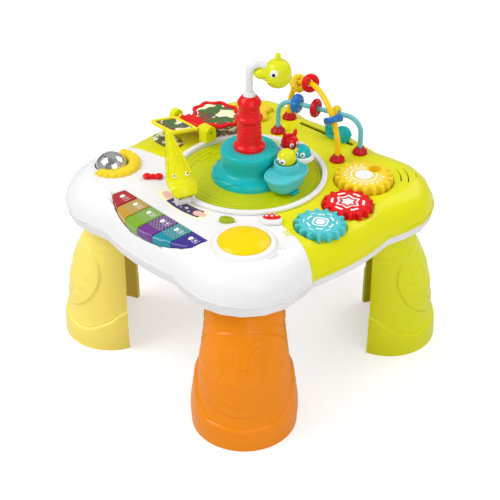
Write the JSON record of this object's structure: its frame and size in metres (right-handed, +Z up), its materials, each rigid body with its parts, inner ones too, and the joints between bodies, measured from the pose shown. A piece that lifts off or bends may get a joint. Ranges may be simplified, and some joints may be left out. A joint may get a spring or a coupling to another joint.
{
  "type": "toddler activity table",
  "caption": "Lobed activity table for small children on plug-in shell legs, with piano keys, meshed gears, bead arches, a turning island, a flip book and push buttons.",
  "frame": {"origin": "on the floor, under the middle of the table top", "axes": "+Z up; the piano keys face -Y; lobes and legs lie on the diagonals"},
  "size_m": [0.4024, 0.4024, 0.4135],
  "materials": {
    "white_plastic": "glossy moulded ABS",
    "lime_plastic": "glossy moulded ABS",
    "disc_lime_plastic": "glossy moulded ABS",
    "yellow_plastic": "glossy moulded ABS",
    "orange_plastic": "glossy moulded ABS",
    "red_plastic": "glossy moulded ABS",
    "teal_plastic": "glossy moulded ABS",
    "blue_plastic": "glossy moulded ABS",
    "clear_plastic": "clear, slightly frosted tube",
    "silver_plastic": "silvered clear plastic",
    "key_red": "tinted clear plastic",
    "key_amber": "tinted clear plastic",
    "key_green": "tinted clear plastic",
    "key_purple": "tinted clear plastic",
    "key_teal": "tinted clear plastic",
    "key_indigo": "tinted clear plastic",
    "steel": "plated steel wire and pins",
    "cell_sleeve": "printed battery sleeve",
    "speaker_black": "black frame and paper cone",
    "board_green": "coated fibreglass board"
  },
  "bodies": {
    "table": {"top_shell_white": "white_plastic", "top_shell_lime": "lime_plastic", "bottom_tray": "white_plastic", "leg_front": "orange_plastic", "leg_left": "yellow_plastic", "leg_right": "lime_plastic", "leg_back": "red_plastic", "battery_cover": "white_plastic", "battery_pack": "cell_sleeve", "tray_screw_1": "steel", "tray_screw_2": "steel", "tray_screw_3": "steel", "tray_screw_4": "steel", "speaker": "speaker_black", "circuit_board": "board_green", "track_ring": "white_plastic", "track_disc": "disc_lime_plastic", "tower": "red_plastic", "flap_bracket": "lime_plastic", "book_bracket": "lime_plastic", "book_spindle": "steel", "arch_yellow": "yellow_plastic", "arch_teal": "teal_plastic", "arch_feet": "red_plastic", "roller_surround": "yellow_plastic", "key_axle": "steel", "button_spring": "steel"},
    "carousel": {"island": "teal_plastic", "boat_teal": "teal_plastic", "boat_white": "white_plastic", "head_green": "lime_plastic", "head_red": "red_plastic", "head_blue": "blue_plastic"},
    "bird": {"neck_tube": "clear_plastic", "bird_head": "lime_plastic"},
    "crocodile_flap": {"crocodile_flap": "lime_plastic"},
    "page_yellow": {"page_yellow": "yellow_plastic"},
    "page_red": {"page_red": "red_plastic"},
    "bead_blue_flower": {"bead_blue_flower": "blue_plastic"},
    "bead_red_lower": {"bead_red_lower": "red_plastic"},
    "bead_yellow_disc": {"bead_yellow_disc": "yellow_plastic"},
    "bead_yellow_flower": {"bead_yellow_flower": "yellow_plastic"},
    "bead_red_upper": {"bead_red_upper": "red_plastic"},
    "bead_blue_wave": {"bead_blue_wave": "blue_plastic"},
    "snail_slider": {"snail_slider": "teal_plastic"},
    "gear_yellow": {"gear_yellow": "yellow_plastic"},
    "gear_red": {"gear_red": "red_plastic"},
    "gear_teal": {"gear_teal": "teal_plastic"},
    "roller_ball": {"roller_ball": "silver_plastic"},
    "petal_spinner": {"petal_spinner": "yellow_plastic"},
    "key_red": {"key_red": "key_red"},
    "key_amber": {"key_amber": "key_amber"},
    "key_green": {"key_green": "key_green"},
    "key_purple": {"key_purple": "key_purple"},
    "key_teal": {"key_teal": "key_teal"},
    "key_indigo": {"key_indigo": "key_indigo"},
    "dome_button": {"dome_button": "yellow_plastic"},
    "bow_switch": {"bow_switch": "red_plastic"},
    "leaf_button": {"leaf_button": "lime_plastic"},
    "toadstool_switch": {"toadstool_switch": "white_plastic"}
  },
  "joints": [
    {"name": "carousel_turn", "type": "hinge", "parent": "table", "child": "carousel", "pos_m": [0, 0, 0.25], "axis": [0, 0, 1], "continuous": true},
    {"name": "neck_swivel", "type": "hinge", "parent": "table", "child": "bird", "pos_m": [0, 0, 0.35], "axis": [0, 0, 1], "range_deg": [-90, 90]},
    {"name": "crocodile_flap_hinge", "type": "hinge", "parent": "table", "child": "crocodile_flap", "pos_m": [-0.004, -0.1065, 0.2545], "axis": [-0.342, -0.9397, 0], "range_deg": [-40, 44]},
    {"name": "page_red_hinge", "type": "hinge", "parent": "table", "child": "page_red", "pos_m": [-0.13175, 0.015, 0.262], "axis": [1, 0, 0], "range_deg": [0, 65]},
    {"name": "page_yellow_hinge", "type": "hinge", "parent": "table", "child": "page_yellow", "pos_m": [-0.13175, 0.015, 0.262], "axis": [-1, 0, 0], "range_deg": [0, 65]},
    {"name": "bead_blue_flower_slide", "type": "slide", "parent": "table", "child": "bead_blue_flower", "axis": [0.9493, 0.3145, 0], "range_m": [0, 0.013]},
    {"name": "bead_red_lower_slide", "type": "slide", "parent": "table", "child": "bead_red_lower", "axis": [0.9493, 0.3145, 0], "range_m": [-0.004, 0.012]},
    {"name": "bead_yellow_disc_slide", "type": "slide", "parent": "table", "child": "bead_yellow_disc", "axis": [0.9493, 0.3145, 0], "range_m": [-0.009, 0.009]},
    {"name": "bead_yellow_flower_slide", "type": "hinge", "parent": "table", "child": "bead_yellow_flower", "pos_m": [-0.0112, 0.12835, 0.255], "axis": [0.2872, 0.9579, 0], "range_deg": [-16, 6]},
    {"name": "bead_red_upper_slide", "type": "hinge", "parent": "table", "child": "bead_red_upper", "pos_m": [-0.0112, 0.12835, 0.255], "axis": [0.2872, 0.9579, 0], "range_deg": [-9, 29]},
    {"name": "bead_blue_wave_slide", "type": "hinge", "parent": "table", "child": "bead_blue_wave", "pos_m": [-0.0112, 0.12835, 0.255], "axis": [0.2872, 0.9579, 0], "range_deg": [-17, 15]},
    {"name": "snail_slide", "type": "slide", "parent": "table", "child": "snail_slider", "axis": [0.9977, 0.0681, 0], "range_m": [-0.056, 0.012]},
    {"name": "gear_yellow_turn", "type": "hinge", "parent": "table", "child": "gear_yellow", "pos_m": [0.112, 0.096, 0.24], "axis": [0, 0, 1], "continuous": true},
    {"name": "gear_red_turn", "type": "hinge", "parent": "table", "child": "gear_red", "pos_m": [0.13875, 0.03729, 0.24], "axis": [0, 0, 1], "continuous": true},
    {"name": "gear_teal_turn", "type": "hinge", "parent": "table", "child": "gear_teal", "pos_m": [0.14763, -0.02068, 0.24], "axis": [0, 0, 1], "continuous": true},
    {"name": "roller_ball_turn", "type": "hinge", "parent": "table", "child": "roller_ball", "pos_m": [-0.142, -0.1145, 0.238], "axis": [-0.3907, 0.9205, 0], "continuous": true},
    {"name": "petal_spinner_turn", "type": "hinge", "parent": "table", "child": "petal_spinner", "pos_m": [-0.122, 0.119, 0.242], "axis": [0, 0, 1], "continuous": true},
    {"name": "key_red_press", "type": "hinge", "parent": "table", "child": "key_red", "pos_m": [-0.06455, -0.1465, 0.237], "axis": [1, 0, 0], "range_deg": [0, 3.5], "stiffness_Nm_per_rad": 0.15, "springref_deg": -1.72},
    {"name": "key_amber_press", "type": "hinge", "parent": "table", "child": "key_amber", "pos_m": [-0.03825, -0.1465, 0.237], "axis": [1, 0, 0], "range_deg": [0, 3.5], "stiffness_Nm_per_rad": 0.15, "springref_deg": -1.72},
    {"name": "key_green_press", "type": "hinge", "parent": "table", "child": "key_green", "pos_m": [-0.01195, -0.1465, 0.237], "axis": [1, 0, 0], "range_deg": [0, 3.5], "stiffness_Nm_per_rad": 0.15, "springref_deg": -1.72},
    {"name": "key_purple_press", "type": "hinge", "parent": "table", "child": "key_purple", "pos_m": [0.01435, -0.1465, 0.237], "axis": [1, 0, 0], "range_deg": [0, 3.5], "stiffness_Nm_per_rad": 0.15, "springref_deg": -1.72},
    {"name": "key_teal_press", "type": "hinge", "parent": "table", "child": "key_teal", "pos_m": [0.04065, -0.1465, 0.237], "axis": [1, 0, 0], "range_deg": [0, 3.5], "stiffness_Nm_per_rad": 0.15, "springref_deg": -1.72},
    {"name": "key_indigo_press", "type": "hinge", "parent": "table", "child": "key_indigo", "pos_m": [0.06695, -0.1465, 0.237], "axis": [1, 0, 0], "range_deg": [0, 3.5], "stiffness_Nm_per_rad": 0.15, "springref_deg": -1.72},
    {"name": "dome_button_press", "type": "slide", "parent": "table", "child": "dome_button", "axis": [0, 0, -1], "range_m": [0, 0.003], "stiffness_N_per_m": 400, "springref_m": -0.003, "deforming": ["button_spring"]},
    {"name": "leaf_button_press", "type": "slide", "parent": "table", "child": "leaf_button", "axis": [0, 0, -1], "range_m": [0, 0.002], "stiffness_N_per_m": 300, "springref_m": -0.002},
    {"name": "bow_switch_slide", "type": "slide", "parent": "table", "child": "bow_switch", "axis": [0.6947, 0.7193, 0], "range_m": [-0.004, 0.004]},
    {"name": "toadstool_switch_slide", "type": "slide", "parent": "table", "child": "toadstool_switch", "axis": [0.6947, 0.7193, 0], "range_m": [-0.004, 0.004]}
  ],
  "couplings": [
    {"joint": "gear_red_turn", "follows": "gear_yellow_turn", "ratio": -1.2},
    {"joint": "gear_teal_turn", "follows": "gear_yellow_turn", "ratio": 1.2}
  ]
}
